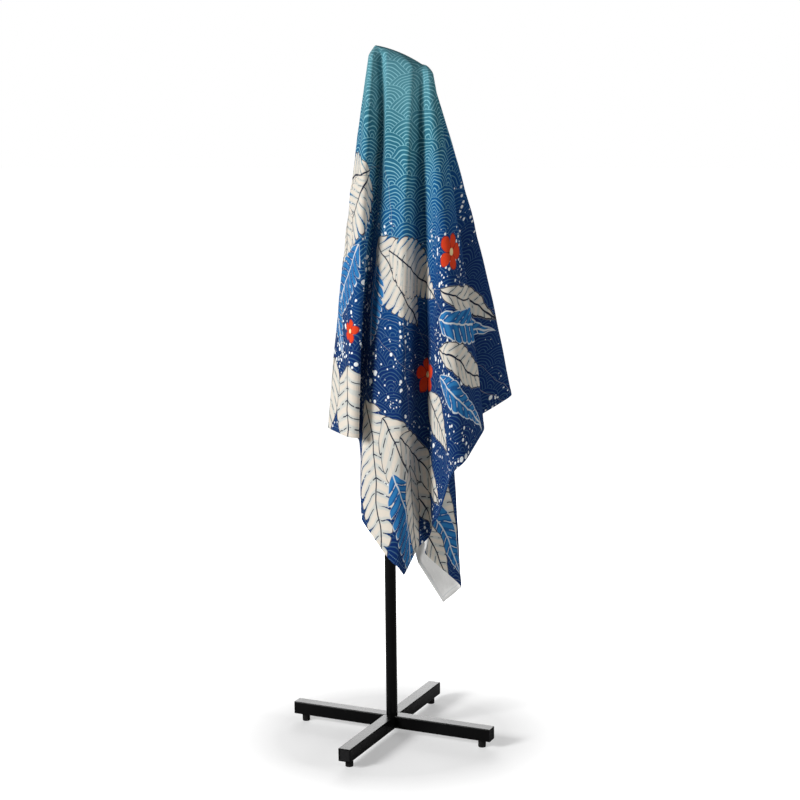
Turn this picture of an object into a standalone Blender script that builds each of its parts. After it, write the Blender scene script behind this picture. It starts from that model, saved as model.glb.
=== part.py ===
"""A beach towel hung over the short arm of a black tube stand with a cross base.

Metres, +Z up. The origin is on the floor, under the post. The four base arms lie along X and Y.
The towel is one sheet, held near the middle of one long edge, so that its folds fan out from the
stand's arm and its four corners hang at four different heights.
"""
import math

import bmesh
import bpy
import numpy as np
from mathutils import Matrix, Vector

# ---- driving sizes of the stand --------------------------------------------------------------
BASE_SPAN = 0.420            # end to end of the cross
BEAM = 0.025                 # side of the square tube
BEAM_WALL = 0.0015
BEAM_EDGE = 0.0015           # radius along the tube's edges
FOOT_HEIGHT = 0.015          # the floor to the underside of the cross
FOOT_DIAMETER = 0.015
FOOT_INSET = 0.020           # the foot's middle from the beam's end
POST_DIAMETER = 0.022
POST_WALL = 0.0015
POST_TOP = 1.307             # top of the post's tube
DOME = 0.006                 # height of the cap over the tube
ARM_DIAMETER = 0.012
ARM_REACH = 0.066            # middle of the arm's round end, from the post's axis
ARM_START_Z = 1.2995         # height of the arm's axis where it leaves the post
GAP = 0.0003                 # between pieces that touch
PLUG_GAP = 0.0004            # between a plug, with its square corners, and the tube round it

# ---- driving sizes of the towel --------------------------------------------------------------
THICKNESS = 0.0016
TURN = math.radians(24.66)   # the towel and the arm are turned this much from the base's X
CREST_Z = 1.3235             # the cloth's highest line: its height over the post
CREST_START = -0.015         # where it starts, across the post
CREST_END = 0.070            # where it ends, along the arm
CREST_FALL = 0.0355          # and its fall from start to end
CREST_CAMBER = 0.005         # how much its middle is raised over a straight line
SHOULDER = 0.022             # from the crest down to where the cloth hangs straight
BOW = 0.3                    # how much sooner the folds spread than straight lines would
LATE_START, LATE_END = 0.05, 1.0   # where a late fold swings out, as shares of the way down

# One row for each fold, corner or edge, going round the towel from its left side by the front.
# The positions are in metres, in the towel's own directions: x along the crest, y to the back.
# neck_x, neck_y: where the fold's line leaves the shoulder. hem_x, hem_y, hem_z: where it ends.
# width: how broad the fold's round back is at the hem, 0 at a corner or a free edge of the towel.
# late: 1 for a fold that hangs straight down at first and swings out lower down.
FOLDS = (
    # name                neck_x  neck_y    hem_x   hem_y   hem_z  width late
    ("left side",         -0.0290,  0.0000,  -0.115, -0.010,  0.612, 0.014, 0),
    ("left ridge",        -0.0240, -0.0255,  -0.063, -0.115,  0.612, 0.020, 0),
    ("left valley",       -0.0035, -0.0155,  -0.058, -0.066,  0.604, 0.012, 1),
    ("centre edge",        0.0040, -0.0285,  -0.051, -0.089,  0.448, 0.008, 1),
    ("centre ridge",       0.0500, -0.0250,   0.008, -0.140,  0.378, 0.014, 0),
    ("corner B",           0.0540, -0.0230,   0.026, -0.130,  0.354, 0.000, 0),
    ("centre valley",      0.0684, -0.0139,   0.064, -0.070,  0.400, 0.020, 0),
    ("front hem",          0.0760, -0.0182,   0.088, -0.095,  0.450, 0.010, 0),
    ("front ridge",        0.0840, -0.0190,   0.128, -0.135,  0.560, 0.024, 0),
    ("front side",         0.0902, -0.0093,   0.180, -0.048,  0.615, 0.012, 0),
    ("tuck",               0.0848, -0.0032,   0.156, -0.018,  0.620, 0.010, 0),
    ("right side",         0.0863,  0.0027,   0.235,  0.029,  0.668, 0.014, 0),
    ("right valley",       0.0824,  0.0080,   0.074,  0.035,  0.650, 0.012, 0),
    ("back right ridge",   0.0857,  0.0170,   0.225,  0.110,  0.650, 0.014, 0),
    ("back right valley",  0.0777,  0.0162,   0.070,  0.072,  0.600, 0.012, 0),
    ("inner ridge",        0.0764,  0.0242,   0.116,  0.113,  0.555, 0.014, 0),
    ("inner valley",       0.0661,  0.0201,   0.069,  0.105,  0.338, 0.012, 0),
    ("tail ridge",         0.0710,  0.0330,   0.142,  0.165,  0.248, 0.014, 0),
    ("corner A",           0.0660,  0.0320,   0.106,  0.175,  0.214, 0.000, 0),
    ("tail edge",          0.0590,  0.0280,   0.055,  0.160,  0.301, 0.000, 0),
    ("back valley",        0.0520,  0.0180,   0.034,  0.125,  0.400, 0.012, 0),
    ("back ridge",         0.0440,  0.0330,   0.055,  0.205,  0.480, 0.014, 0),
    ("left back valley",   0.0330,  0.0200,   0.006,  0.110,  0.500, 0.012, 0),
    ("left back ridge",    0.0250,  0.0320,  -0.005,  0.215,  0.520, 0.014, 0),
    ("corner D",           0.0170,  0.0240,  -0.030,  0.135,  0.520, 0.000, 0),
    ("right back edge",    0.0090,  0.0260,  -0.002,  0.062,  1.030, 0.000, 0),
    ("back foot",          0.0000,  0.0270,  -0.004,  0.040,  1.200, 0.000, 0),
    ("left back edge",    -0.0100,  0.0250,  -0.030,  0.052,  1.030, 0.000, 0),
    ("corner C",          -0.0230,  0.0180,  -0.084,  0.066,  0.600, 0.000, 0),
)
NECK_SHARE = 0.3             # a fold's width at the neck, as a share of its width at the hem
FOLD_SHARE = 0.3             # how far a fold's rounding runs into the flat face beside it
SHOULDER_ROWS = 4
HANGING_ROWS = 8


def clear_scene():
    for thing in list(bpy.data.objects):
        bpy.data.objects.remove(thing, do_unlink=True)


def paint(name, colour, roughness, metallic=0.0):
    """A plain Principled BSDF material."""
    material = bpy.data.materials.new(name)
    material.use_nodes = True
    shader = material.node_tree.nodes["Principled BSDF"]
    shader.inputs["Base Color"].default_value = (*colour, 1.0)
    shader.inputs["Roughness"].default_value = roughness
    shader.inputs["Metallic"].default_value = metallic
    return material


def add_object(name, mesh_data, material, place=Matrix.Identity(4)):
    piece = bpy.data.objects.new(name, mesh_data)
    if not mesh_data.materials:
        mesh_data.materials.append(material)
    piece.matrix_world = place
    bpy.context.scene.collection.objects.link(piece)
    return piece


def finish_mesh(name, bm, smooth_angle=35.0):
    bmesh.ops.recalc_face_normals(bm, faces=bm.faces)
    data = bpy.data.meshes.new(name)
    bm.to_mesh(data)
    bm.free()
    data.shade_smooth()
    data.set_sharp_from_angle(angle=math.radians(smooth_angle))
    return data


# ---- the stand -------------------------------------------------------------------------------
def square_tube(name, length):
    """A square tube along X from x = 0, open at both ends, with rounded long edges."""
    bm = bmesh.new()

    def ring(side, radius, x):
        corners = []
        for quarter in range(4):
            for step in range(3):
                angle = math.radians(90 * quarter + 45 * step)
                middle = side / 2 - radius
                sign_y = (1, -1, -1, 1)[quarter]
                sign_z = (1, 1, -1, -1)[quarter]
                corners.append(bm.verts.new((x, sign_y * middle + radius * math.cos(angle),
                                             sign_z * middle + radius * math.sin(angle))))
        return corners

    inner_side = BEAM - 2 * BEAM_WALL
    inner_edge = 0.0005
    rings = [ring(BEAM, BEAM_EDGE, 0.0), ring(BEAM, BEAM_EDGE, length),
             ring(inner_side, inner_edge, length), ring(inner_side, inner_edge, 0.0)]
    for first, second in zip(rings, rings[1:] + rings[:1]):
        for i in range(len(first)):
            j = (i + 1) % len(first)
            bm.faces.new((first[i], first[j], second[j], second[i]))
    return finish_mesh(name, bm)


def turned_shell(profile, segments):
    """Faces turned round Z from (radius, height) points; a radius of 0 closes an end.

    A profile that starts and ends away from the axis is joined up into a tube wall.
    """
    bm = bmesh.new()
    angles = [2 * math.pi * i / segments for i in range(segments)]
    rings = []
    for radius, height in profile:
        if radius == 0:
            rings.append([bm.verts.new((0, 0, height))])
        else:
            rings.append([bm.verts.new((radius * math.cos(a), radius * math.sin(a), height)) for a in angles])
    pairs = list(zip(rings, rings[1:]))
    if profile[0][0] > 0 and profile[-1][0] > 0:
        pairs.append((rings[-1], rings[0]))
    for first, second in pairs:
        for i in range(segments):
            j = (i + 1) % segments
            corners = [first[i % len(first)], first[j % len(first)],
                       second[j % len(second)], second[i % len(second)]]
            bm.faces.new(list(dict.fromkeys(corners)))
    return bm, rings


def turned(name, profile, segments=32):
    return finish_mesh(name, turned_shell(profile, segments)[0])


def end_plug(name):
    """A plastic plug for a beam's end: a ribbed face, its middle at the origin, and a body along -X."""
    side = BEAM - 2 * BEAM_WALL - 2 * PLUG_GAP
    depth = 0.010
    bm = bmesh.new()
    bmesh.ops.create_cube(bm, size=1.0)
    bmesh.ops.scale(bm, vec=(depth, side, side), verts=bm.verts)
    bmesh.ops.translate(bm, vec=(-depth / 2, 0, 0), verts=bm.verts)
    face = [f for f in bm.faces if f.normal.x > 0.5]
    rim = 0.0018
    recess = 0.0008
    bmesh.ops.inset_region(bm, faces=face, thickness=rim, depth=0)
    bmesh.ops.translate(bm, vec=(-recess, 0, 0), verts=list({v for f in face for v in f.verts}))
    return finish_mesh(name, bm)


def make_base(steel, plastic, rubber):
    centre_z = FOOT_HEIGHT + BEAM / 2
    half = BASE_SPAN / 2
    side_start = BEAM / 2 + GAP
    beams = (("beam_long", -half, BASE_SPAN, 0),
             ("beam_back", side_start, half - side_start, 90),
             ("beam_front", side_start, half - side_start, 270))
    for name, start, length, heading in beams:
        place = Matrix.Rotation(math.radians(heading), 4, "Z") @ Matrix.Translation((start, 0, centre_z))
        add_object(name, square_tube(name, length), steel, place)
    plug_mesh = end_plug("end_plug")
    radius = FOOT_DIAMETER / 2
    edge = 0.001
    foot_mesh = turned("foot", ((0, 0), (radius - edge, 0), (radius, edge),
                                (radius, FOOT_HEIGHT - GAP), (0, FOOT_HEIGHT - GAP)), 24)
    for name, heading in (("right", 0), ("back", 90), ("left", 180), ("front", 270)):
        turn = Matrix.Rotation(math.radians(heading), 4, "Z")
        add_object("plug_" + name, plug_mesh, plastic, turn @ Matrix.Translation((half, 0, centre_z)))
        add_object("foot_" + name, foot_mesh, rubber, turn @ Matrix.Translation((half - FOOT_INSET, 0, 0)))


def make_post(steel, plastic):
    radius = POST_DIAMETER / 2
    bore = radius - POST_WALL
    bottom = FOOT_HEIGHT + BEAM + GAP
    add_object("post", turned("post", ((radius, bottom), (radius, POST_TOP), (bore, POST_TOP),
                                       (bore, bottom))), steel)
    spigot = bore - GAP
    rim = POST_TOP + GAP
    dome = [(radius * math.cos(math.radians(a)), rim + (DOME - GAP) * math.sin(math.radians(a)))
            for a in (0, 15, 30, 45, 60, 75)]
    profile = [(0, POST_TOP - 0.012), (spigot, POST_TOP - 0.012), (spigot, rim)] + dome + [(0, POST_TOP + DOME)]
    add_object("post_cap", turned("post_cap", profile), plastic)


def make_arm(steel):
    """A short round bar that slopes down from the post's side, its free end rounded."""
    radius = ARM_DIAMETER / 2
    slope = CREST_FALL / (CREST_END - CREST_START)
    start = Vector((POST_DIAMETER / 2, 0, ARM_START_Z))
    end = Vector((ARM_REACH, 0, ARM_START_Z - slope * (ARM_REACH - start.x)))
    length = (end - start).length
    segments = 20
    ball = [(radius * math.cos(math.radians(a)), length + radius * math.sin(math.radians(a)))
            for a in (15, 30, 45, 60, 75)]
    bm, rings = turned_shell([(radius, 0), (radius, length)] + ball + [(0, length + radius)], segments)
    foot = rings[0]
    for i in range(segments // 2):
        bm.faces.new(list(dict.fromkeys((foot[i], foot[i + 1], foot[-i - 1], foot[-i]))))
    lie = (end - start).to_track_quat("Z", "Y").to_matrix().to_4x4()
    bm.transform(Matrix.Translation(start) @ lie)
    # the end at the post follows the tube's round side
    clear = POST_DIAMETER / 2 + GAP + 0.00005
    for vertex in foot:
        vertex.co.x = math.sqrt(clear ** 2 - vertex.co.y ** 2)
    add_object("hanger_arm", finish_mesh("hanger_arm", bm), steel, Matrix.Rotation(TURN, 4, "Z"))


# ---- the towel -------------------------------------------------------------------------------
def across_fold(before, fold, after):
    """The direction across a fold's round back, from its two neighbours."""
    towards = (after - fold) / np.linalg.norm(after - fold)
    away = (before - fold) / np.linalg.norm(before - fold)
    return (towards - away) / np.linalg.norm(towards - away)


def fold_loop():
    """The neck and the hem all round the towel, as rows of neck x, y, hem x, y, z and late.

    Each fold has a round back: two bends, its width apart, across the fold.
    """
    rows = np.array([(*row[1:6], row[7]) for row in FOLDS])
    widths = [row[6] for row in FOLDS]
    bends = []
    for i, width in enumerate(widths):
        before, fold, after = rows[i - 1], rows[i], rows[(i + 1) % len(rows)]
        if width == 0:
            bends.append((fold, "corner"))
            continue
        neck_step = across_fold(before[0:2], fold[0:2], after[0:2]) * width * NECK_SHARE / 2
        hem_step = across_fold(before[2:4], fold[2:4], after[2:4]) * width / 2
        step = np.array([*neck_step, *hem_step, 0, 0])
        for side, neighbour, kind in ((-1, before, "in"), (1, after, "out")):
            bend = fold + side * step
            share = width / 2 / np.linalg.norm(neighbour[2:5] - fold[2:5])
            bend[4] += (neighbour[4] - fold[4]) * share
            bends.append((bend, kind))
    points = []
    for i, (bend, kind) in enumerate(bends):
        before = (bends[i - 1][0] + bend) / 2
        after = (bends[(i + 1) % len(bends)][0] + bend) / 2
        if kind == "corner":
            points += [before, bend]
            continue
        first = before if kind == "out" else bend + (before - bend) * FOLD_SHARE
        last = after if kind == "in" else bend + (after - bend) * FOLD_SHARE
        if kind == "in":
            points.append(before)
        for s in (0, 0.35, 0.7):
            points.append(first * (1 - s) ** 2 + bend * 2 * s * (1 - s) + last * s ** 2)
        if kind == "out":
            points.append(last)
    return np.array(points)


def towel_grid():
    """Rows of points from the crest to the hem, all round the towel, and the crest's middle."""
    loop = fold_loop()
    neck, hem, late = loop[:, 0:2], loop[:, 2:5], loop[:, 5]
    reach = len(loop) // 16
    oval = np.mean([np.roll(neck, shift, axis=0) for shift in range(-reach, reach + 1)], axis=0)
    crest_length = CREST_END - CREST_START
    along = np.clip((oval[:, 0] - CREST_START) / crest_length, 0, 1)
    crest_z = CREST_Z - along * CREST_FALL + 4 * CREST_CAMBER * along * (1 - along)
    crest = np.stack([CREST_START + along * crest_length, 0 * along, crest_z], axis=1)
    grid = []
    for row in range(1, SHOULDER_ROWS + 1):
        angle = math.pi / 2 * row / SHOULDER_ROWS
        pleated = math.sin(angle) ** 4
        ring = oval * (1 - pleated) + neck * pleated
        flat = crest[:, :2] + (ring - crest[:, :2]) * math.sin(angle)
        height = crest[:, 2] - SHOULDER * (1 - math.cos(angle))
        grid.append(np.column_stack([flat, height]))
    neck_line = grid[-1]
    for row in range(1, HANGING_ROWS + 1):
        down = row / HANGING_ROWS
        early = down + BOW * down * (1 - down)
        swing = min(1, max(0, (down - LATE_START) / (LATE_END - LATE_START)))
        out = early + (swing ** 2 * (3 - 2 * swing) - early) * late
        grid.append(neck_line + (hem - neck_line) * np.column_stack([out, out, np.full(len(out), down)]))
    middle = np.array([CREST_START + crest_length / 2, 0, CREST_Z - CREST_FALL / 2 + CREST_CAMBER])
    return np.array(grid), middle


def make_towel(cloth):
    grid, middle = towel_grid()
    bm = bmesh.new()
    rings = [[bm.verts.new(point) for point in ring] for ring in grid]
    top = bm.verts.new(middle)
    count = len(rings[0])
    for i in range(count):
        j = (i + 1) % count
        bm.faces.new((top, rings[0][i], rings[0][j]))
        for upper, lower in zip(rings, rings[1:]):
            bm.faces.new((upper[i], lower[i], lower[j], upper[j]))
    data = finish_mesh("towel", bm, 60.0)
    towel = add_object("towel", data, cloth, Matrix.Rotation(TURN, 4, "Z"))
    solid = towel.modifiers.new("thickness", "SOLIDIFY")
    solid.thickness = THICKNESS
    solid.offset = 0.0
    return towel


def main():
    clear_scene()
    steel = paint("black_paint", (0.012, 0.012, 0.013), 0.42, 0.3)
    plastic = paint("black_plastic", (0.015, 0.015, 0.016), 0.55)
    rubber = paint("black_rubber", (0.010, 0.010, 0.010), 0.75)
    cloth = paint("printed_cloth", (0.02, 0.12, 0.30), 0.85)
    make_base(steel, plastic, rubber)
    make_post(steel, plastic)
    make_arm(steel)
    make_towel(cloth)


main()
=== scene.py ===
"""Looks for the beach towel on its stand: a draped sheet, its print, the stand's paint, light and camera.

Metres, +Z up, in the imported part's frame. "Flat" positions are places on the towel before it was hung:
u to the right and v down from the hanging point, near the middle of one long edge. "Hung" positions are
places in the upright panels in which the print is laid out.
"""
import math

import bmesh
import bpy
import numpy as np
from mathutils import Matrix, Vector, noise


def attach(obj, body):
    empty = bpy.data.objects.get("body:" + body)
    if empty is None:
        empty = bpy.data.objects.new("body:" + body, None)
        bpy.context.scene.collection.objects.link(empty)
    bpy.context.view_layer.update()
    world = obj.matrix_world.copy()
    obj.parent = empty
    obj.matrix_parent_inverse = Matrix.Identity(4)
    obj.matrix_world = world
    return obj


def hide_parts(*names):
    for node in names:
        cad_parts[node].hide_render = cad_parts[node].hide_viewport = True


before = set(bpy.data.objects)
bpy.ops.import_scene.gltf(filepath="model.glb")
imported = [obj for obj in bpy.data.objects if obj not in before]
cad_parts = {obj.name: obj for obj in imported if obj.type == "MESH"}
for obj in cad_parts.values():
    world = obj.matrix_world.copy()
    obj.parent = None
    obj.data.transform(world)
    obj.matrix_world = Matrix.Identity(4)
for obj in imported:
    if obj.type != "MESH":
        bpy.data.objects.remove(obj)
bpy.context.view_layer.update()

# ---- the towel's sizes, as in the CAD ---------------------------------------------------------
LEFT, RIGHT = 0.73, 0.87     # from the hanging point to the short edges
FRONT, BACK = 0.68, 0.12     # from the hanging point to the long edges
WIDTH, HEIGHT = LEFT + RIGHT, FRONT + BACK
ROUND_TRIP = 2 * (WIDTH + HEIGHT)   # once round the flat towel's edge, from corner C down the left edge
CORNER_PLACES = {"corner B": HEIGHT, "corner A": HEIGHT + WIDTH, "corner D": 2 * HEIGHT + WIDTH,
                 "corner C": ROUND_TRIP}
TURN = math.radians(24.66)   # of the whole drape, about the post
CREST_Z = 1.3235             # height of the crest, the cloth's highest line, where it starts
CREST_START, CREST_END = -0.015, 0.070   # the crest runs outwards over the arm
CREST_FALL = 0.0355          # from its start to its end
CREST_CAMBER = 0.005         # and its rise between them
SHOULDER = 0.022             # height of the round shoulder from the crest down to the neck
BOW = 0.3                    # how much sooner than in a straight line a fold swings out to its hem
LATE_START, LATE_END = 0.05, 1.0   # shares of the way down between which a late fold swings out

# bearing: direction of the fold's line on the flat towel, in degrees from straight down the front,
# positive to the left. neck, hem: ends of the line under the shoulder and at the edge, before the turn.
# width: of the fold's round back at the hem. late: 1 where the fold keeps to the post at first.
FOLDS = (
    # name               bearing  neck_x  neck_y    hem_x   hem_y   hem_z  width late
    ("left side",           90.0, -0.0290,  0.0000,  -0.115, -0.010,  0.612, 0.014, 0),
    ("left ridge",          85.0, -0.0240, -0.0255,  -0.063, -0.115,  0.612, 0.020, 0),
    ("left valley",         70.0, -0.0035, -0.0155,  -0.058, -0.066,  0.604, 0.012, 1),
    ("centre edge",         58.0,  0.0040, -0.0285,  -0.051, -0.089,  0.448, 0.008, 1),
    ("centre ridge",        50.5,  0.0500, -0.0250,   0.008, -0.140,  0.378, 0.014, 0),
    ("corner B",            47.5,  0.0540, -0.0230,   0.026, -0.130,  0.354, 0.000, 0),
    ("centre valley",       45.0,  0.0684, -0.0139,   0.064, -0.070,  0.400, 0.020, 0),
    ("front hem",           42.0,  0.0760, -0.0182,   0.088, -0.095,  0.450, 0.010, 0),
    ("front ridge",         37.0,  0.0840, -0.0190,   0.128, -0.135,  0.560, 0.024, 0),
    ("front side",          29.0,  0.0902, -0.0093,   0.180, -0.048,  0.615, 0.012, 0),
    ("tuck",                27.0,  0.0848, -0.0032,   0.156, -0.018,  0.620, 0.010, 0),
    ("right side",          20.0,  0.0863,  0.0027,   0.235,  0.029,  0.668, 0.014, 0),
    ("right valley",         6.0,  0.0824,  0.0080,   0.074,  0.035,  0.650, 0.012, 0),
    ("back right ridge",    -9.0,  0.0857,  0.0170,   0.225,  0.110,  0.650, 0.014, 0),
    ("back right valley",  -22.0,  0.0777,  0.0162,   0.070,  0.072,  0.600, 0.012, 0),
    ("inner ridge",        -33.0,  0.0764,  0.0242,   0.116,  0.113,  0.555, 0.014, 0),
    ("inner valley",       -43.5,  0.0661,  0.0201,   0.069,  0.105,  0.338, 0.012, 0),
    ("tail ridge",         -47.5,  0.0710,  0.0330,   0.142,  0.165,  0.248, 0.014, 0),
    ("corner A",           -49.3,  0.0660,  0.0320,   0.106,  0.175,  0.214, 0.000, 0),
    ("tail edge",          -55.0,  0.0590,  0.0280,   0.055,  0.160,  0.301, 0.000, 0),
    ("back valley",        -62.0,  0.0520,  0.0180,   0.034,  0.125,  0.400, 0.012, 0),
    ("back ridge",         -72.0,  0.0440,  0.0330,   0.055,  0.205,  0.480, 0.014, 0),
    ("left back valley",   -82.0,  0.0330,  0.0200,   0.006,  0.110,  0.500, 0.012, 0),
    ("left back ridge",    -91.0,  0.0250,  0.0320,  -0.005,  0.215,  0.520, 0.014, 0),
    ("corner D",           -98.6,  0.0170,  0.0240,  -0.030,  0.135,  0.520, 0.000, 0),
    ("right back edge",   -115.0,  0.0090,  0.0260,  -0.002,  0.062,  1.030, 0.000, 0),
    ("back foot",         -180.0,  0.0000,  0.0270,  -0.004,  0.040,  1.200, 0.000, 0),
    ("left back edge",    -245.0, -0.0100,  0.0250,  -0.030,  0.052,  1.030, 0.000, 0),
    ("corner C",          -260.7, -0.0230,  0.0180,  -0.084,  0.066,  0.600, 0.000, 0),
)
NECK_SHARE = 0.3             # a round back's width at the neck, as a share of its width at the hem
# The print is laid out on the hung towel in panels, each upright on its ridge. They meet in the folds.
# shift: keeps the left panel and the tail apart from the front, whose motifs the back panels repeat.
PANELS = (
    # name        first_fold           last_fold            ridge               shift
    ("left",      "back foot",         "left valley",       "left ridge",       -2.00),
    ("front",     "left valley",       "right valley",      "centre ridge",      0.00),
    ("back 1",    "right valley",      "back right valley", "back right ridge", -0.16),
    ("back 2",    "back right valley", "inner valley",      "inner ridge",      -0.10),
    ("tail",      "inner valley",      "back valley",       "tail ridge",        2.00),
    ("back 3",    "back valley",       "left back valley",  "back ridge",        0.03),
    ("back 4",    "left back valley",  "back foot",         "left back ridge",   0.01),
)
ROUNDING_NECK, ROUNDING_HEM = 0.26, 0.42   # how far a fold's rounding runs into the face beside it
BEND_STEPS = 5               # columns in half a fold's round back
FACE_STEPS = 3               # and in half a flat face
SHOULDER_ROWS = 14
HANGING_ROWS = 84
OVAL_DIVISION = 16           # the shoulder's oval is the neck, evened out over a 16th of it to both sides
PLEAT_SHARPNESS = 4          # how late on the shoulder the neck's folds appear
GATHER_REACH = 0.5           # from the crest, where the cloth lies evenly, to where each fold is on its line
SLANT_LIMIT = 0.35           # a line that meets the edge at a slant crosses a wider hem, within this limit

CLOTH = 0.0011               # thickness of the cloth, and of its hem, which is turned over and sewn
HEM_CLOTH = 0.0019
HEM = 0.011                  # width of the hem
# distance from the edge of each row in the hem, and the cloth's thickness there
HEM_ROWS = (
    # from_edge  thickness
    (0.0125, CLOTH),
    (HEM,    CLOTH),
    (0.0104, HEM_CLOTH),
    (0.0094, HEM_CLOTH),
    (0.0086, 0.0012),
    (0.0078, HEM_CLOTH),
    (0.0040, HEM_CLOTH),
    (0.0004, 0.0017),
    (0.0000, 0.0012),
)
HEM_CLEAR = 1.25             # the hanging rows end at this many times the first hem row's distance

# soft creases that run down from the hanging point, and dimples all over
CREASE_DEPTH, DIMPLE_DEPTH = 0.0016, 0.0012
CREASES_ROUND, CREASES_DOWN = 12.0, 1.8   # waves in a radian about the hanging point, and in a metre
DIMPLE_SIZE = 0.07
CREASE_SEED, DIMPLE_SEED = 3.0, 9.0
LOOSE_START, LOOSE_GROWTH = 0.06, 0.25   # they start off the hanging point, and are full so much further

SEAM_ROW = -5                # the row in the hem that the stitches follow
STITCH_PITCH = 0.0034
STITCH_LENGTH = 0.0026
STITCH_LIFT = 0.0007         # from the middle of the cloth
STITCH_SINK = 0.7            # how deep its ends dip, in diameters of the thread
STITCH_SIDES = 6
THREAD = 0.0005              # diameter
# the rings that make a stitch: places along its half length, sizes, and shares of its dip
STITCH_RINGS = (
    # place size sink
    (-1.0, 0.4, 1.0),
    (-0.5, 1.0, 0.0),
    (0.5, 1.0, 0.0),
    (1.0, 0.4, 1.0),
)
# where each number is in a column of the drape
NECK, HEM_ACROSS, HEM_POINT = slice(0, 2), slice(2, 4), slice(2, 5)
HEM_Z, EDGE_PLACE, LATE = 4, 5, 6


# ---- the draped sheet -------------------------------------------------------------------------
def across_fold(before, fold, after):
    towards = (after - fold) / np.linalg.norm(after - fold)
    away = (before - fold) / np.linalg.norm(before - fold)
    return (towards - away) / np.linalg.norm(towards - away)


def edge_place(bearing):
    """How far round the flat towel's edge a bearing points: from corner C down the left edge and on."""
    u, v = -math.sin(math.radians(bearing)), math.cos(math.radians(bearing))
    sideways = (LEFT / -u, "left") if u < 0 else (RIGHT / u, "right")
    lengthways = (FRONT / v, "front") if v > 0 else (BACK / -v, "back")
    reach, side = min(sideways, lengthways)
    u, v = u * reach, v * reach
    places = {"left": v + BACK, "front": HEIGHT + u + LEFT, "right": HEIGHT + WIDTH + FRONT - v,
              "back": HEIGHT + WIDTH + HEIGHT + RIGHT - u}
    return places[side]


def edge_point(place):
    """The flat position a given way round the edge, and the edge's outward direction there."""
    place = place % ROUND_TRIP
    if place < HEIGHT:
        return (-LEFT, place - BACK), (-1.0, 0.0)
    if place < HEIGHT + WIDTH:
        return (place - HEIGHT - LEFT, FRONT), (0.0, 1.0)
    if place < 2 * HEIGHT + WIDTH:
        return (RIGHT, FRONT - (place - HEIGHT - WIDTH)), (1.0, 0.0)
    return (RIGHT - (place - 2 * HEIGHT - WIDTH), -BACK), (0.0, -1.0)


def neighbours(columns, i):
    """The columns on both sides of one, with places that run on from its own, also past corner C."""
    before, after = columns[i - 1].copy(), columns[(i + 1) % len(columns)].copy()
    before[EDGE_PLACE] -= ROUND_TRIP if before[EDGE_PLACE] > columns[i][EDGE_PLACE] else 0
    after[EDGE_PLACE] += ROUND_TRIP if after[EDGE_PLACE] < columns[i][EDGE_PLACE] else 0
    return before, after


def straight(start, end, steps):
    """Even steps from the start to just before the end."""
    return [start + (end - start) * s for s in np.linspace(0, 1, steps + 1)[:-1]]


def fold_sides(folds, widths):
    """The two sides of each fold's round back, or the fold itself where it is a plain corner."""
    sides = []
    for i, (fold, width) in enumerate(zip(folds, widths)):
        if width == 0:
            sides.append((fold, "corner"))
            continue
        before, after = neighbours(folds, i)
        neck_step = across_fold(before[NECK], fold[NECK], after[NECK]) * width * NECK_SHARE / 2
        hem_step = across_fold(before[HEM_ACROSS], fold[HEM_ACROSS], after[HEM_ACROSS]) * width / 2
        offset = np.array([*neck_step, *hem_step, 0, width / 2, 0])
        for sign, neighbour, kind in ((-1, before, "in"), (1, after, "out")):
            side = fold + sign * offset
            share = width / 2 / np.linalg.norm(neighbour[HEM_POINT] - fold[HEM_POINT])
            side[HEM_Z] += (neighbour[HEM_Z] - fold[HEM_Z]) * share
            sides.append((side, kind))
    return sides


def drape_columns(folds, widths, rounding):
    """Columns all round the towel: flat faces, and round backs along the folds."""
    sides = fold_sides(folds, widths)
    bends = [side for side, kind in sides]
    columns = []
    for i, (bend, kind) in enumerate(sides):
        last_bend, next_bend = neighbours(bends, i)
        before, after = (last_bend + bend) / 2, (next_bend + bend) / 2
        if kind == "corner":
            columns += straight(before, bend, FACE_STEPS) + straight(bend, after, FACE_STEPS)
            continue
        first = before if kind == "out" else bend + (before - bend) * rounding
        last = after if kind == "in" else bend + (after - bend) * rounding
        if kind == "in":
            columns += straight(before, first, FACE_STEPS)
        for s in np.linspace(0, 1, BEND_STEPS + 1)[:-1]:
            columns.append(first * (1 - s) ** 2 + bend * 2 * s * (1 - s) + last * s ** 2)
        if kind == "out":
            columns += straight(last, after, FACE_STEPS)
    return np.array(columns)


def fold_columns():
    """For each column: its neck and its hem, its place round the flat edge, and how late it swings out."""
    folds, widths = [], []
    for name, bearing, neck_x, neck_y, hem_x, hem_y, hem_z, width, late in FOLDS:
        place = CORNER_PLACES.get(name, edge_place(bearing))
        folds.append([neck_x, neck_y, hem_x, hem_y, hem_z, place, late])
        widths.append(width)
    folds = np.array(folds)
    neck = drape_columns(folds, widths, ROUNDING_NECK)
    hem = drape_columns(folds, widths, ROUNDING_HEM)
    return neck[:, NECK], hem[:, HEM_POINT], hem[:, EDGE_PLACE], hem[:, LATE]


def fold_lines():
    """Which column runs along each fold's line."""
    lines, start = {}, 0
    for name, *_, width, _ in FOLDS:
        half = FACE_STEPS if width == 0 else FACE_STEPS + BEND_STEPS
        lines[name] = start + half
        start += 2 * half
    return lines


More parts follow.
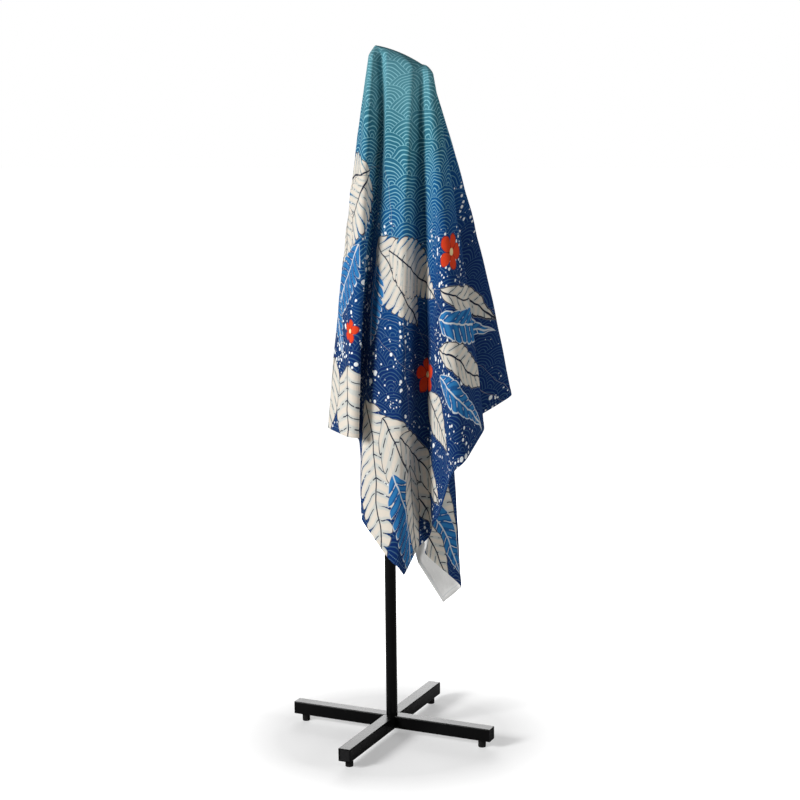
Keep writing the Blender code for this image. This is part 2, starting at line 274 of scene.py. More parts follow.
def hung_places(grid):
    """Where each point is in its panel of the print: across from the panel's ridge, and down."""
    lines = fold_lines()
    count = grid.shape[1]
    steps = np.linalg.norm(np.roll(grid, -1, axis=1) - grid, axis=2)
    # down: the drop below the crest, and above the neck the way along the cloth from there
    down = CREST_Z - grid[:, :, 2]
    shoulder_steps = np.linalg.norm(np.diff(grid, axis=0), axis=2)[:SHOULDER_ROWS - 1]
    above = np.cumsum(shoulder_steps[::-1], axis=0)[::-1]
    down[:SHOULDER_ROWS - 1] = down[SHOULDER_ROWS - 1] - above
    panels = []
    for _, first, last, ridge, shift in PANELS:
        span = (lines[last] - lines[first]) % count
        columns = [column % count for column in range(lines[first], lines[first] + span + 1)]
        middle = columns.index(lines[ridge])
        walked = np.cumsum(steps[:, columns[:-1]], axis=1)
        along = np.concatenate([np.zeros((len(grid), 1)), walked], axis=1)
        across = shift + grid[:, columns[middle], 0][:, None] + along - along[:, middle:middle + 1]
        panels.append((columns, np.stack([across, down[:, columns]], axis=2)))
    return panels


def smooth(share):
    return share * share * (3 - 2 * share)


def shoulder_rows(crest, neck, oval):
    """Rows that round the shoulder: an even oval by the crest, with the folds growing in by the neck."""
    rows = []
    for row in range(1, SHOULDER_ROWS + 1):
        angle = math.pi / 2 * row / SHOULDER_ROWS
        pleated = math.sin(angle) ** PLEAT_SHARPNESS
        ring = oval * (1 - pleated) + neck * pleated
        flat = crest[:, :2] + (ring - crest[:, :2]) * math.sin(angle)
        rows.append(np.column_stack([flat, crest[:, 2] - SHOULDER * (1 - math.cos(angle))]))
    return rows


def sheet_grid():
    """Rows of points from the crest to the edge, the flat position of each, and its thickness."""
    neck, hem, places, late = fold_columns()
    count = len(neck)
    spread = count // OVAL_DIVISION
    oval = np.mean([np.roll(neck, shift, axis=0) for shift in range(-spread, spread + 1)], axis=0)
    crest_length = CREST_END - CREST_START
    along = np.clip((oval[:, 0] - CREST_START) / crest_length, 0, 1)
    crest_z = CREST_Z - along * CREST_FALL + 4 * CREST_CAMBER * along * (1 - along)
    crest = np.stack([CREST_START + along * crest_length, 0 * along, crest_z], axis=1)
    edge_flat, outward = (np.array(side) for side in zip(*(edge_point(place) for place in places)))
    flat_length = np.linalg.norm(edge_flat, axis=1)
    slant = np.maximum(SLANT_LIMIT, np.abs(np.sum(edge_flat * outward, axis=1)) / flat_length)

    rows = shoulder_rows(crest, neck, oval)
    neck_line = rows[-1]
    hang_length = np.linalg.norm(hem - neck_line, axis=1)
    limit = 1 - HEM_ROWS[0][0] * HEM_CLEAR / slant / hang_length
    downs = [np.full(count, row / HANGING_ROWS) * limit for row in range(1, HANGING_ROWS)]
    downs += [1 - from_edge / slant / hang_length for from_edge, _ in HEM_ROWS]
    for down in downs:
        early = down + BOW * down * (1 - down)
        swing = np.clip((down - LATE_START) / (LATE_END - LATE_START), 0, 1)
        out = early + (smooth(swing) - early) * late
        rows.append(neck_line + (hem - neck_line) * np.stack([out, out, down], axis=1))
    grid = np.array(rows)
    thickness = [CLOTH] * (len(rows) - len(HEM_ROWS)) + [thick for _, thick in HEM_ROWS]

    # a column's bearing at the edge of the towel, and by the crest, where the cloth lies evenly round it
    low_bearing = np.unwrap(np.arctan2(-edge_flat[:, 0], edge_flat[:, 1]))
    round_neck = np.cumsum(np.linalg.norm(oval - np.roll(oval, 1, axis=0), axis=1))
    top_bearing = -2 * math.pi * round_neck / round_neck[-1]
    top_bearing += np.mean((low_bearing - top_bearing)[:count // 2])
    steps = np.linalg.norm(np.diff(np.concatenate([crest[None], grid]), axis=0), axis=2)
    reach = np.cumsum(steps, axis=0) / np.sum(steps, axis=0) * flat_length
    settled = smooth(np.clip(reach / GATHER_REACH, 0, 1))
    bearing = top_bearing + (low_bearing - top_bearing) * settled
    flat = np.stack([-reach * np.sin(bearing), reach * np.cos(bearing)], axis=2)
    return grid, flat, thickness


def turned_about_post(grid):
    turn = np.array([[math.cos(TURN), math.sin(TURN), 0], [-math.sin(TURN), math.cos(TURN), 0], [0, 0, 1]])
    return grid @ turn


def settle(grid, flat):
    """Soft creases and a slightly uneven hem, in a cloth that otherwise hangs in straight folds."""
    before, after = np.roll(grid, 1, axis=1), np.roll(grid, -1, axis=1)
    up = np.concatenate([grid[:1], grid[:-1]])
    down = np.concatenate([grid[1:], grid[-1:]])
    normal = np.cross(after - before, up - down)
    normal /= np.maximum(np.linalg.norm(normal, axis=2), 1e-9)[:, :, None]
    moved = grid.copy()
    for row in range(1, grid.shape[0]):
        for column in range(grid.shape[1]):
            u, v = flat[row, column]
            reach = math.hypot(u, v)
            heading = math.atan2(v, u)
            loose = min(1.0, max(0.0, (reach - LOOSE_START) / LOOSE_GROWTH))
            crease = noise.noise(Vector((heading * CREASES_ROUND, reach * CREASES_DOWN, CREASE_SEED)))
            dimple = noise.noise(Vector((u / DIMPLE_SIZE, v / DIMPLE_SIZE, DIMPLE_SEED)))
            lift = CREASE_DEPTH * crease + DIMPLE_DEPTH * dimple
            moved[row, column] += normal[row, column] * lift * loose
    return turned_about_post(moved)


def zip_crest(bm, ring):
    """Joins the two sides of the crest's first ring by a strip of triangles."""
    xs = [v.co.x * math.cos(TURN) + v.co.y * math.sin(TURN) for v in ring]
    place = dict(zip(ring, xs))
    left, right = xs.index(min(xs)), xs.index(max(xs))
    count = len(ring)
    one = [ring[(left + i) % count] for i in range((right - left) % count + 1)]
    other = [ring[(left - i) % count] for i in range((left - right) % count + 1)]
    i = j = 0
    while i < len(one) - 1 or j < len(other) - 1:
        if j == len(other) - 1 or (i < len(one) - 1 and place[one[i + 1]] <= place[other[j + 1]]):
            corners = (one[i], one[i + 1], other[j])
            i += 1
        else:
            corners = (one[i], other[j + 1], other[j])
            j += 1
        if len(set(corners)) == 3:
            bm.faces.new(corners)


def add_piece(name, bm, materials):
    """A smooth object of the given shape."""
    data = bpy.data.meshes.new(name)
    bm.to_mesh(data)
    bm.free()
    data.shade_smooth()
    piece = bpy.data.objects.new(name, data)
    bpy.context.scene.collection.objects.link(piece)
    for material in materials:
        data.materials.append(material)
    return piece


def make_towel(grid, flat, thickness, panels, printed, reverse):
    """The cloth: one sheet, with its flat and hung positions, made as thick as each row says."""
    bm = bmesh.new()
    flat_layer = bm.loops.layers.uv.new("flat")
    hung_layer = bm.loops.layers.uv.new("hung")
    rings = [[bm.verts.new(point) for point in ring] for ring in grid]
    places = {v: flat[r][c] for r, ring in enumerate(rings) for c, v in enumerate(ring)}
    zip_crest(bm, rings[0])
    crest_place = {}
    for columns, across_down in panels:
        for k, (i, j) in enumerate(zip(columns, columns[1:])):
            crest_place[rings[0][i]] = across_down[0][k]
            for row, (upper, lower) in enumerate(zip(rings, rings[1:])):
                face = bm.faces.new((upper[i], lower[i], lower[j], upper[j]))
                corners = ((row, k), (row + 1, k), (row + 1, k + 1), (row, k + 1))
                for loop, corner in zip(face.loops, corners):
                    loop[hung_layer].uv = across_down[corner]
    for face in bm.faces:
        for loop in face.loops:
            loop[flat_layer].uv = places[loop.vert]
            if len(face.verts) == 3:
                loop[hung_layer].uv = crest_place[loop.vert]
    bmesh.ops.recalc_face_normals(bm, faces=bm.faces)
    cloth = add_piece("towel_cloth", bm, (printed, reverse))
    count = grid.shape[1]
    group = cloth.vertex_groups.new(name="thickness")
    for row, thick in enumerate(thickness):
        group.add(list(range(row * count, (row + 1) * count)), thick / HEM_CLOTH, "REPLACE")
    solid = cloth.modifiers.new("thickness", "SOLIDIFY")
    solid.thickness = HEM_CLOTH
    solid.offset = 0.0
    solid.vertex_group = "thickness"
    solid.material_offset = 1
    return cloth


def make_stitches(grid, thread):
    """The hem's row of stitches, on both sides of the cloth: short bars along the seam."""
    seam = grid[SEAM_ROW]
    inward = grid[SEAM_ROW - 1] - seam
    bm = bmesh.new()
    carried = STITCH_PITCH / 2
    for start, end, inwards in zip(seam, np.roll(seam, -1, axis=0), inward):
        length = np.linalg.norm(end - start)
        if length < 1e-6:
            continue
        along = (end - start) / length
        across = inwards / np.linalg.norm(inwards)
        out = np.cross(along, across)
        out /= np.linalg.norm(out)
        across = np.cross(out, along)
        while carried < length:
            middle = start + along * carried
            for side in (-1, 1):
                add_stitch(bm, middle + out * side * STITCH_LIFT, along, across, out * side)
            carried += STITCH_PITCH
        carried -= length
    bmesh.ops.recalc_face_normals(bm, faces=bm.faces)
    return add_piece("hem_stitches", bm, (thread,))


def add_stitch(bm, middle, along, across, out):
    """One stitch: a bar, tapered and bent down at its ends."""
    angles = [math.radians(360 / STITCH_SIDES * k) for k in range(STITCH_SIDES)]
    rings = []
    for place, size, sink in STITCH_RINGS:
        centre = middle + along * place * STITCH_LENGTH / 2 - out * sink * THREAD * STITCH_SINK
        rings.append([bm.verts.new(centre + (across * math.cos(a) + out * math.sin(a)) * THREAD / 2 * size)
                      for a in angles])
    for first, second in zip(rings, rings[1:]):
        for k in range(STITCH_SIDES):
            n = (k + 1) % STITCH_SIDES
            bm.faces.new((first[k], first[n], second[n], second[k]))
    bm.faces.new(rings[0])
    bm.faces.new(rings[-1])


# ---- node arithmetic --------------------------------------------------------------------------
class Signal:
    """A node's output with arithmetic, so that a pattern reads as a formula."""

    def __init__(self, tree, socket):
        self.tree = tree
        self.socket = socket

    def __add__(self, other):
        return calc("ADD", self, other)

    def __sub__(self, other):
        return calc("SUBTRACT", self, other)

    def __rsub__(self, other):
        return calc("SUBTRACT", other, self)

    def __mul__(self, other):
        return calc("MULTIPLY", self, other)

    def __truediv__(self, other):
        return calc("DIVIDE", self, other)

    __radd__ = __add__


def calc(operation, *values, clamp=False):
    tree = next(v.tree for v in values if isinstance(v, Signal))
    node = tree.nodes.new("ShaderNodeMath")
    node.operation = operation
    node.use_clamp = clamp
    for place, value in zip(node.inputs, values):
        join(tree, value, place)
    return Signal(tree, node.outputs[0])


def join(tree, value, place):
    if isinstance(value, Signal):
        tree.links.new(value.socket, place)
    else:
        place.default_value = value


def step(value, soft):
    """0 below zero, 1 above, over a short ramp."""
    return calc("ADD", value / soft, 0.5, clamp=True)


def between(value, low, high):
    return calc("DIVIDE", value - low, high - low, clamp=True)


def blend_colour(tree, share, first, second):
    node = tree.nodes.new("ShaderNodeMix")
    node.data_type = "RGBA"
    join(tree, share, node.inputs[0])
    join(tree, first, node.inputs[6])
    join(tree, second, node.inputs[7])
    return Signal(tree, node.outputs[2])


def srgb(text):
    """A colour from its usual six hex digits."""
    parts = [int(text[i:i + 2], 16) / 255 for i in (0, 2, 4)]
    return tuple(p / 12.92 if p <= 0.04045 else ((p + 0.055) / 1.055) ** 2.4 for p in parts) + (1.0,)


def fine_noise(tree, point, scale, detail=2.0):
    node = tree.nodes.new("ShaderNodeTexNoise")
    node.inputs["Scale"].default_value = scale
    node.inputs["Detail"].default_value = detail
    tree.links.new(point.socket, node.inputs["Vector"])
    return Signal(tree, node.outputs["Fac"])


def object_point(tree):
    place = tree.nodes.new("ShaderNodeTexCoord")
    return Signal(tree, place.outputs["Object"])


def cloth_point(tree, layer):
    """A place on the cloth, flat or hung: as a point, and its two numbers."""
    uv = tree.nodes.new("ShaderNodeUVMap")
    uv.uv_map = layer
    parts = tree.nodes.new("ShaderNodeSeparateXYZ")
    tree.links.new(uv.outputs[0], parts.inputs[0])
    return Signal(tree, uv.outputs[0]), Signal(tree, parts.outputs[0]), Signal(tree, parts.outputs[1])


def new_group(name, inputs, outputs):
    tree = bpy.data.node_groups.new(name, "ShaderNodeTree")
    for label in inputs:
        tree.interface.new_socket(label, in_out="INPUT", socket_type="NodeSocketFloat")
    for label in outputs:
        tree.interface.new_socket(label, in_out="OUTPUT", socket_type="NodeSocketFloat")
    entry, leave = tree.nodes.new("NodeGroupInput"), tree.nodes.new("NodeGroupOutput")
    return tree, [Signal(tree, entry.outputs[label]) for label in inputs], leave


def use_group(tree, group, values):
    node = tree.nodes.new("ShaderNodeGroup")
    node.node_tree = group
    for place, value in zip(node.inputs, values):
        join(tree, value, place)
    return [Signal(tree, out) for out in node.outputs]


# ---- the print --------------------------------------------------------------------------------
# Sizes in metres on the hung cloth. Places in a panel: across from its ridge, and down from the crest.
OUTLINE_SOFT, LINE_SOFT = 0.0012, 0.0010   # how softly a motif ends, and a line in it
LEAF_RIM, LEAF_RIB = 0.0022, 0.0016        # width of the line round a leaf, and of half its midrib
LEAF_FULLNESS = 0.7          # below 1: widest nearer its base than its tip
LEAFLET_SWEEP = 1.3          # how far leaflets point forward, in leaflets
CUT_SHARPNESS = 5.0          # of the cuts between leaflets
# veins run between leaflets, and bands along their borders: each starts at this share of the way from
# the middle of a leaflet to its border, and a vein ends at this share of the way to the leaf's outline
VEIN_START, VEIN_SOFT = 0.90, 0.06
VEIN_END, VEIN_END_SOFT = 0.9, 0.1
BAND_START, BAND_SOFT = 0.50, 0.25
VEIN_BREAKS = 0.47           # the lowest noise at which a vein shows
BAND_STRENGTH = 0.8
FLOWER_RIM = 0.0016
PETALS = 5
PETAL_FULLNESS = 0.45        # below 1: rounder petals
PETAL_DEPTH = 0.58           # share of the radius that the petals are cut in
PETAL_CREASE, PETAL_CREASE_SOFT = 0.16, 0.08   # the dark line between two petals
FLOWER_EYE, EYE_GAP_SOFT = 0.2, 0.002   # the eye's share of the radius, and how the creases end at it
SCALE_RADIUS, SCALE_RINGS = 0.046, 7.0

SHORT_WAVER, LONG_WAVER = 0.012, 0.03   # how far the drawing strays, in short and in long waves
GROUND_MIDDLE = 0.05         # where the ground's teal reaches furthest down
GROUND_RISE, LEFT_RISE = 1.1, 0.8   # how its colours rise to the right, and to the left as a share of that
GROUND_UNEVEN = 0.06
GROUND_STOPS = ((0.10, "4F8996"), (0.20, "2F6D80"), (0.36, "0F5486"), (0.48, "00427F"), (0.64, "012862"))
RING_START, RING_SOFT = 0.76, 0.26   # a scale's pale rings: their width and softness, and their strength
RING_STRENGTH = 0.76
RING_FADE_START, RING_FADE_END, RING_FADE = 0.30, 0.54, 0.82   # and how they fade on the way down
DRIFT_LOW, DRIFT_HIGH = 0.35, 0.53   # of the noise that gathers the drops in drifts
DRIFT_START, DRIFT_END = 0.30, 0.42  # where they set in, on the way down
DROP_RARITY = 1.7            # above 1: more small drops than large
DROP_TRIM, DROP_SOFT = 0.03, 0.05   # in cells, as is the largest drop's radius
DROPS = (
    # cells_in_metre largest
    (72.0, 0.42),
    (125.0, 0.46),
)
TONES = {
    # tone    body      band      line
    "cream": ("D8CFC2", "BFC3BF", "141C34"),
    "blue":  ("2A74AE", "134A86", "C9CFD2"),
}
# heading: the way a leaf points from its base, in degrees from straight down towards the right.
LEAVES = (
    # panel  across  down  heading length half_width  bend  leaflets  cut  tone
    ("left",  -0.020, 0.225,  -75.0, 0.130,  0.040,  0.10,   11.0,  0.80, "cream"),
    ("left",  -0.024, 0.235,  -35.0, 0.190,  0.050, -0.08,   13.0,  0.80, "cream"),
    ("left",  -0.110, 0.290,    5.0, 0.130,  0.036,  0.10,   10.0,  0.80, "cream"),
    ("left",  -0.045, 0.360,  -34.0, 0.220,  0.040,  0.14,   13.0,  0.80, "blue"),
    ("left",  -0.170, 0.420,   15.0, 0.160,  0.030, -0.10,   11.0,  0.80, "blue"),
    ("left",  -0.080, 0.580,    6.0, 0.190,  0.064,  0.05,    9.0,  0.10, "cream"),
    ("left",  -0.160, 0.570,  -14.0, 0.190,  0.056,  0.05,    9.0,  0.10, "cream"),
    ("left",  -0.270, 0.520,    5.0, 0.200,  0.050,  0.08,    9.0,  0.10, "blue"),
    ("front", -0.050, 0.345,   34.0, 0.220,  0.062, -0.10,   14.0,  0.80, "cream"),
    ("front", -0.010, 0.370,   66.0, 0.190,  0.052,  0.12,   13.0,  0.80, "cream"),
    ("front", -0.050, 0.400,   -8.0, 0.150,  0.040, -0.10,   11.0,  0.80, "blue"),
    ("front", -0.075, 0.640,   14.0, 0.340,  0.062,  0.08,   15.0,  0.80, "cream"),
    ("front", -0.030, 0.680,   38.0, 0.290,  0.056, -0.10,   10.0,  0.10, "cream"),
    ("front",  0.020, 0.715,   62.0, 0.220,  0.038,  0.12,    9.0,  0.10, "cream"),
    ("front",  0.010, 0.780,   24.0, 0.230,  0.044,  0.08,   12.0,  0.80, "blue"),
    ("front",  0.065, 0.770,    8.0, 0.210,  0.034, -0.08,    9.0,  0.10, "cream"),
    ("front",  0.190, 0.450,   84.0, 0.300,  0.030,  0.10,   12.0,  0.10, "cream"),
    ("front",  0.185, 0.500,   80.0, 0.300,  0.032, -0.08,   12.0,  0.10, "blue"),
    ("front",  0.190, 0.550,   76.0, 0.300,  0.030,  0.08,   12.0,  0.10, "cream"),
    ("front",  0.190, 0.605,   70.0, 0.240,  0.026,  0.08,   10.0,  0.10, "blue"),
    ("front",  0.130, 0.640,   58.0, 0.170,  0.036,  0.10,    8.0,  0.10, "cream"),
    ("tail",   0.010, 0.760,   30.0, 0.260,  0.040,  0.08,   11.0,  0.10, "cream"),
    ("tail",   0.020, 0.840,   26.0, 0.250,  0.034, -0.08,   11.0,  0.10, "blue"),
    ("tail",   0.000, 0.900,   32.0, 0.220,  0.030,  0.08,   10.0,  0.10, "cream"),
    ("tail",   0.220, 0.620,   -8.0, 0.300,  0.056,  0.08,   14.0,  0.80, "cream"),
    ("tail",   0.100, 0.480,   12.0, 0.240,  0.044, -0.10,   12.0,  0.80, "blue"),
)
FLOWERS = (
    # panel  across  down  radius turn
    ("front",  0.215, 0.375, 0.034, 0.4),
    ("front",  0.120, 0.610, 0.034, 1.3),
    ("left",  -0.075, 0.520, 0.022, 0.2),
    ("tail",   0.120, 0.700, 0.026, 0.9),
)
SHIFTS = {name: shift for name, _, _, _, shift in PANELS}


def leaf_group():
    """A leaf drawn in a panel of the print: its fill, its lines, and the bands across it."""
    labels = ("u", "v", "base u", "base v", "aim u", "aim v", "length", "half width", "bend", "leaflets",
              "cut", "veins")
    tree, values, leave = new_group("leaf", labels, ("fill", "line", "band"))
    u, v, base_u, base_v, aim_u, aim_v, length, half_width, bend, leaflets, cut, vein_share = values
    du, dv = u - base_u, v - base_v
    along = (du * aim_u + dv * aim_v) / length
    inside = calc("MINIMUM", calc("MAXIMUM", along, 0.0), 1.0)
    across = dv * aim_u - du * aim_v - bend * length * inside * inside
    away = calc("ABSOLUTE", across)
    outline = half_width * calc("SINE", calc("POWER", inside, LEAF_FULLNESS) * math.pi)
    # edge: 0 in the middle of a leaflet, 1 at its borders
    phase = calc("FRACT", along * leaflets - away / half_width * LEAFLET_SWEEP)
    edge = calc("ABSOLUTE", phase * 2.0 - 1.0)
    notch = calc("POWER", edge, CUT_SHARPNESS)
    limit = outline * (1.0 - notch * cut)
    fill = step(limit - away, OUTLINE_SOFT)
    rim = 1.0 - step(limit - away - LEAF_RIM, LINE_SOFT)
    rib = step(LEAF_RIB - away, LINE_SOFT)
    join(tree, fill, leave.inputs["fill"])
    vein = step(edge - VEIN_START, VEIN_SOFT) * step(VEIN_END - away / outline, VEIN_END_SOFT) * vein_share
    join(tree, calc("MAXIMUM", calc("MAXIMUM", rim, rib), vein) * fill, leave.inputs["line"])
    join(tree, step(edge - BAND_START, BAND_SOFT) * fill, leave.inputs["band"])
    return tree


def scale_group():
    """The traditional pattern of overlapping scales: the distance from the front scale's middle."""
    tree, (u, v, size), leave = new_group("scales", ("u", "v", "radius"), ("ring",))
    row_height = size * 0.5
    row = calc("FLOOR", v / row_height)
    ring = None
    # a place can lie in scales of four rows, each in front of the row above it. Every other row is
    # shifted by half a scale.
    for back in (3.0, 2.0, 1.0, 0.0):
        number = row - back + 2.0
        shift = calc("FRACT", number * 0.5) * 2.0
        column = u / (size * 2.0) - shift * 0.5
        du = (calc("FRACT", column) - 0.5) * size * 2.0
        dv = v - number * row_height
        distance = calc("SQRT", du * du + dv * dv) / size
        inside = calc("LESS_THAN", distance, 1.0)
        ring = distance if ring is None else ring + (distance - ring) * inside
    join(tree, ring, leave.inputs["ring"])
    return tree


def flower_group():
    """A flower drawn in a panel of the print: its fill, its dark lines, and its eye."""
    labels = ("u", "v", "middle u", "middle v", "radius", "turn")
    tree, values, leave = new_group("flower", labels, ("fill", "line", "eye"))
    u, v, middle_u, middle_v, radius, turn = values
    du, dv = u - middle_u, v - middle_v
    distance = calc("SQRT", du * du + dv * dv)
    angle = calc("ARCTAN2", dv, du) * (PETALS / 2) + turn
    petal = calc("POWER", calc("ABSOLUTE", calc("COSINE", angle)), PETAL_FULLNESS)
    limit = radius * ((1.0 - PETAL_DEPTH) + petal * PETAL_DEPTH)
    fill = step(limit - distance, OUTLINE_SOFT)
    join(tree, fill, leave.inputs["fill"])
    crease = step(PETAL_CREASE - petal * (distance / radius), PETAL_CREASE_SOFT)
    crease = crease * step(distance - radius * FLOWER_EYE, EYE_GAP_SOFT)
    rim = 1.0 - step(limit - distance - FLOWER_RIM, LINE_SOFT)
    join(tree, calc("MAXIMUM", crease, rim) * fill, leave.inputs["line"])
    join(tree, step(radius * FLOWER_EYE - distance, OUTLINE_SOFT), leave.inputs["eye"])
    return tree


def hand_waver(tree, point, fine, broad):
    """How far a drawn place strays, in short and in long waves."""
    short = (fine_noise(tree, point, fine, detail=1.0) - 0.5) * SHORT_WAVER
    return short + (fine_noise(tree, point, broad, detail=0.0) - 0.5) * LONG_WAVER


def ground(tree, point, u, v):
    """Teal by the middle of the top edge, through blue, to navy; and how deep in that course a place is."""
    # side: across from the middle, without the 2 m by which some panels are shifted
    side = calc("FRACT", (u + 1.0) / 2.0) * 2.0 - (1.0 + GROUND_MIDDLE)
    edge = calc("MAXIMUM", side, side * -LEFT_RISE)
    depth = v + edge * GROUND_RISE + (fine_noise(tree, point, 5.0) - 0.5) * GROUND_UNEVEN
    ramp = tree.nodes.new("ShaderNodeValToRGB")
    elements = ramp.color_ramp.elements
    while len(elements) < len(GROUND_STOPS):
        elements.new(0.5)
    for element, (place, colour) in zip(elements, GROUND_STOPS):
        element.position, element.color = place, srgb(colour)
    tree.links.new(depth.socket, ramp.inputs[0])
    return Signal(tree, ramp.outputs[0]), depth


def add_scales(tree, colour, u, v, depth):
    """Rings in fine pale lines, fainter further down."""
    ring, = use_group(tree, scale_group(), (u, v, SCALE_RADIUS))
    near = calc("ABSOLUTE", calc("FRACT", ring * SCALE_RINGS) - 0.5) * 2.0
    line = step(near - RING_START, RING_SOFT)
    fade = between(depth, RING_FADE_START, RING_FADE_END) * RING_FADE
    line = line * (1.0 - fade)
    return blend_colour(tree, line * RING_STRENGTH, colour, srgb("93CFDA"))


def add_drops(tree, colour, point, depth):
    """White drops of all sizes, in loose drifts."""
    drift = between(fine_noise(tree, point, 6.0, detail=1.0), DRIFT_LOW, DRIFT_HIGH)
    drift = drift * between(depth, DRIFT_START, DRIFT_END)
    dots = None
    for cells_in_metre, largest in DROPS:
        cells = tree.nodes.new("ShaderNodeTexVoronoi")
        cells.inputs["Scale"].default_value = cells_in_metre
        tree.links.new(point.socket, cells.inputs["Vector"])
        split = tree.nodes.new("ShaderNodeSeparateColor")
        tree.links.new(cells.outputs["Color"], split.inputs[0])
        chance = Signal(tree, split.outputs[0])
        size = calc("POWER", chance, DROP_RARITY) * largest * drift
        dot = step(size - Signal(tree, cells.outputs["Distance"]) - DROP_TRIM, DROP_SOFT)
        dots = dot if dots is None else calc("MAXIMUM", dots, dot)
    return blend_colour(tree, dots, colour, srgb("EEF2F3"))


def add_leaves(tree, colour, point, u, v):
    """The leaves, with veins that break off here and there."""
    leaf = leaf_group()
    sketch = step(fine_noise(tree, point, 60.0, detail=1.0) - VEIN_BREAKS, 0.05)
    for panel, across, down, heading, length, half_width, bend, leaflets, cut, tone in LEAVES:
        aim_u, aim_v = math.sin(math.radians(heading)), math.cos(math.radians(heading))
        fill, line, band = use_group(tree, leaf, (u, v, across + SHIFTS[panel], down, aim_u, aim_v, length,
                                                  half_width, bend, leaflets, cut, sketch))
        body, banded, drawn = (srgb(c) for c in TONES[tone])
        skin = blend_colour(tree, band * BAND_STRENGTH, body, banded)
        skin = blend_colour(tree, line, skin, drawn)
        colour = blend_colour(tree, fill, colour, skin)
    return colour


def add_flowers(tree, colour, u, v):
    flower = flower_group()
    for panel, across, down, radius, turn in FLOWERS:
        fill, line, eye = use_group(tree, flower, (u, v, across + SHIFTS[panel], down, radius, turn))
        petal = blend_colour(tree, line, srgb("D8401F"), srgb("8E1F12"))
        petal = blend_colour(tree, eye, petal, srgb("EED9A0"))
        colour = blend_colour(tree, fill, colour, petal)
    return colour


def print_group():
    """The print's colour at a place in a panel: scales, drops, leaves and flowers on a blue ground."""
    tree = bpy.data.node_groups.new("towel_print", "ShaderNodeTree")
    tree.interface.new_socket("colour", in_out="OUTPUT", socket_type="NodeSocketColor")
    leave = tree.nodes.new("NodeGroupOutput")
    point, across, down = cloth_point(tree, "hung")
    across_waver = hand_waver(tree, point, 22.0, 8.0)
    down_waver = hand_waver(tree, point, 31.0, 9.0)
    u, v = across + across_waver, down + down_waver
    colour, depth = ground(tree, point, u, v)
    colour = add_scales(tree, colour, u, v, depth)
    colour = add_drops(tree, colour, point, depth)
    colour = add_leaves(tree, colour, point, u, v)
    colour = add_flowers(tree, colour, u, v)
    join(tree, colour, leave.inputs["colour"])
    return tree


# ---- the cloth's and the stand's materials ----------------------------------------------------
KNIT_PITCH = 0.0009          # of the cloth
KNIT_DEPTH = 0.0004
RIB_PITCH = 0.0022           # of the ribbed plastic
RIB_DEPTH = 0.0004


def new_material(name, roughness, colour=(0.5, 0.5, 0.5, 1.0)):
    material = bpy.data.materials.new(name)
    material.use_nodes = True
    tree = material.node_tree
    shader = tree.nodes["Principled BSDF"]
    shader.inputs["Roughness"].default_value = roughness
    shader.inputs["Base Color"].default_value = colour
    return material, tree, shader


def set_surface(tree, shader, colour, roughness, specular):
    tree.links.new(colour.socket, shader.inputs["Base Color"])
    tree.links.new(roughness.socket, shader.inputs["Roughness"])
    shader.inputs["Specular IOR Level"].default_value = specular


def add_bump(tree, shader, height, depth, strength=0.6):
    bump = tree.nodes.new("ShaderNodeBump")
    bump.inputs["Strength"].default_value = strength
    bump.inputs["Distance"].default_value = depth
    tree.links.new(height.socket, bump.inputs["Height"])
    tree.links.new(bump.outputs[0], shader.inputs["Normal"])


def cloth_height(tree):
    """Microfibre: a fine knit under a short suede-like pile."""
    point, u, v = cloth_point(tree, "flat")
    warp = calc("SINE", u * (2 * math.pi / KNIT_PITCH))
    weft = calc("SINE", v * (2 * math.pi / KNIT_PITCH))
    pile = fine_noise(tree, point, 900.0, detail=3.0)
    soft = fine_noise(tree, point, 60.0)
    return warp * weft * 0.18 + pile * 0.6 + soft * 1.6, pile, soft


def printed_cloth(group):
    material, tree, shader = new_material("printed_microfibre", 0.82)
    height, pile, soft = cloth_height(tree)
    colour, = use_group(tree, group, ())
    worn = blend_colour(tree, (pile - 0.35) * 0.03, colour, srgb("C9D3D6"))
    set_surface(tree, shader, worn, roughness=0.76 + soft * 0.14, specular=0.08)
    shader.inputs["Sheen Weight"].default_value = 0.012
    shader.inputs["Sheen Roughness"].default_value = 0.5
    add_bump(tree, shader, height, KNIT_DEPTH)
    return material


def plain_reverse(group):
    """The cloth's unprinted side, with a trace of the print showing through."""
    material, tree, shader = new_material("plain_reverse", 0.88)
    height, pile, soft = cloth_height(tree)
    colour, = use_group(tree, group, ())
    ghost = blend_colour(tree, 0.05, srgb("E3E2DF"), colour)
    tinted = blend_colour(tree, pile * 0.14, ghost, srgb("AEB2B8"))
    set_surface(tree, shader, tinted, roughness=0.82 + soft * 0.12, specular=0.25)
    add_bump(tree, shader, height, KNIT_DEPTH)
    return material


def hem_thread():
    material, tree, shader = new_material("hem_thread", 0.6)
    twist = fine_noise(tree, object_point(tree), 2500.0, detail=1.0)
    shade = blend_colour(tree, twist, srgb("5D86A8"), srgb("9DB9CC"))
    tree.links.new(shade.socket, shader.inputs["Base Color"])
    return material


def black_paint():
    """Satin powder coat, with a slight orange peel and a little grime."""
    material, tree, shader = new_material("satin_black_paint", 0.26)
    point = object_point(tree)
    peel, grime = fine_noise(tree, point, 420.0), fine_noise(tree, point, 14.0, detail=4.0)
    colour = blend_colour(tree, grime, (0.0014, 0.0014, 0.0015, 1), (0.0050, 0.0050, 0.0052, 1))
    set_surface(tree, shader, colour, roughness=0.20 + grime * 0.12, specular=0.07)
    add_bump(tree, shader, peel, depth=0.00012, strength=0.5)
    return material


